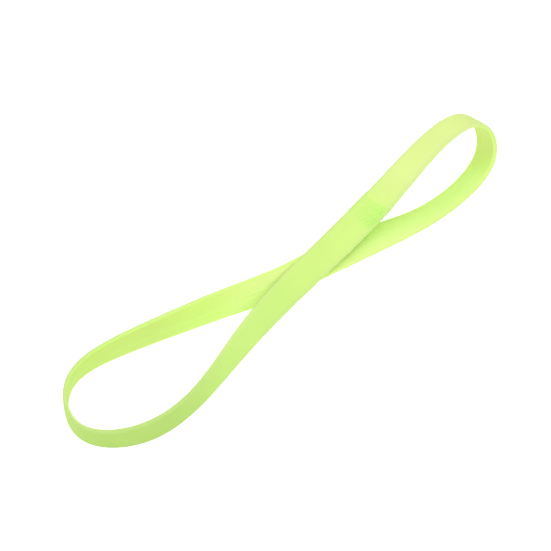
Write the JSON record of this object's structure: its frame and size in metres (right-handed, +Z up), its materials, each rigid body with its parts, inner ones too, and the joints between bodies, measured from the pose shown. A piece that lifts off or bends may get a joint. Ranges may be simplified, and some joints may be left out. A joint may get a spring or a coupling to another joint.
{
  "type": "elastic sports headband",
  "caption": "Slim elastic sweat headband: a soft webbing loop with a sewn lap join and an inner silicone grip, lying pinched and half twisted",
  "frame": {"origin": "on the surface the band lies on, under the middle of the whole loop", "axes": "+X along the lying loop towards the end that leans back on its face, +Z up, +Y towards the side away from the viewer"},
  "size_m": [0.2174, 0.0433, 0.034],
  "materials": {
    "outer_weave": "matt neon yellow-green woven face",
    "inner_weave": "matt neon yellow-green woven back",
    "selvedge": "rounded woven edge, matt",
    "binder_yarn": "soft filling yarn inside the weave",
    "elastic_rubber": "natural latex thread, dull",
    "silicone_grip": "thin clear silicone line, satin",
    "needle_thread": "polyester sewing thread, slight sheen",
    "bobbin_thread": "polyester sewing thread, slight sheen"
  },
  "bodies": {
    "root": {"face_weft_layer": "outer_weave", "back_weft_layer": "inner_weave", "selvedge_upper": "selvedge", "selvedge_lower": "selvedge", "binder_yarns": "binder_yarn", "rubber_thread_01": "elastic_rubber", "rubber_thread_02": "elastic_rubber", "rubber_thread_03": "elastic_rubber", "rubber_thread_04": "elastic_rubber", "rubber_thread_05": "elastic_rubber", "rubber_thread_06": "elastic_rubber", "rubber_thread_07": "elastic_rubber", "rubber_thread_08": "elastic_rubber", "rubber_thread_09": "elastic_rubber", "rubber_thread_10": "elastic_rubber", "rubber_thread_11": "elastic_rubber", "silicone_grip_line_1": "silicone_grip", "silicone_grip_line_2": "silicone_grip", "silicone_grip_line_3": "silicone_grip", "needle_stitch_row_1": "needle_thread", "needle_stitch_row_2": "needle_thread", "needle_stitch_row_3": "needle_thread", "bobbin_stitch_row_1": "bobbin_thread", "bobbin_stitch_row_2": "bobbin_thread", "bobbin_stitch_row_3": "bobbin_thread"}
  },
  "joints": []
}
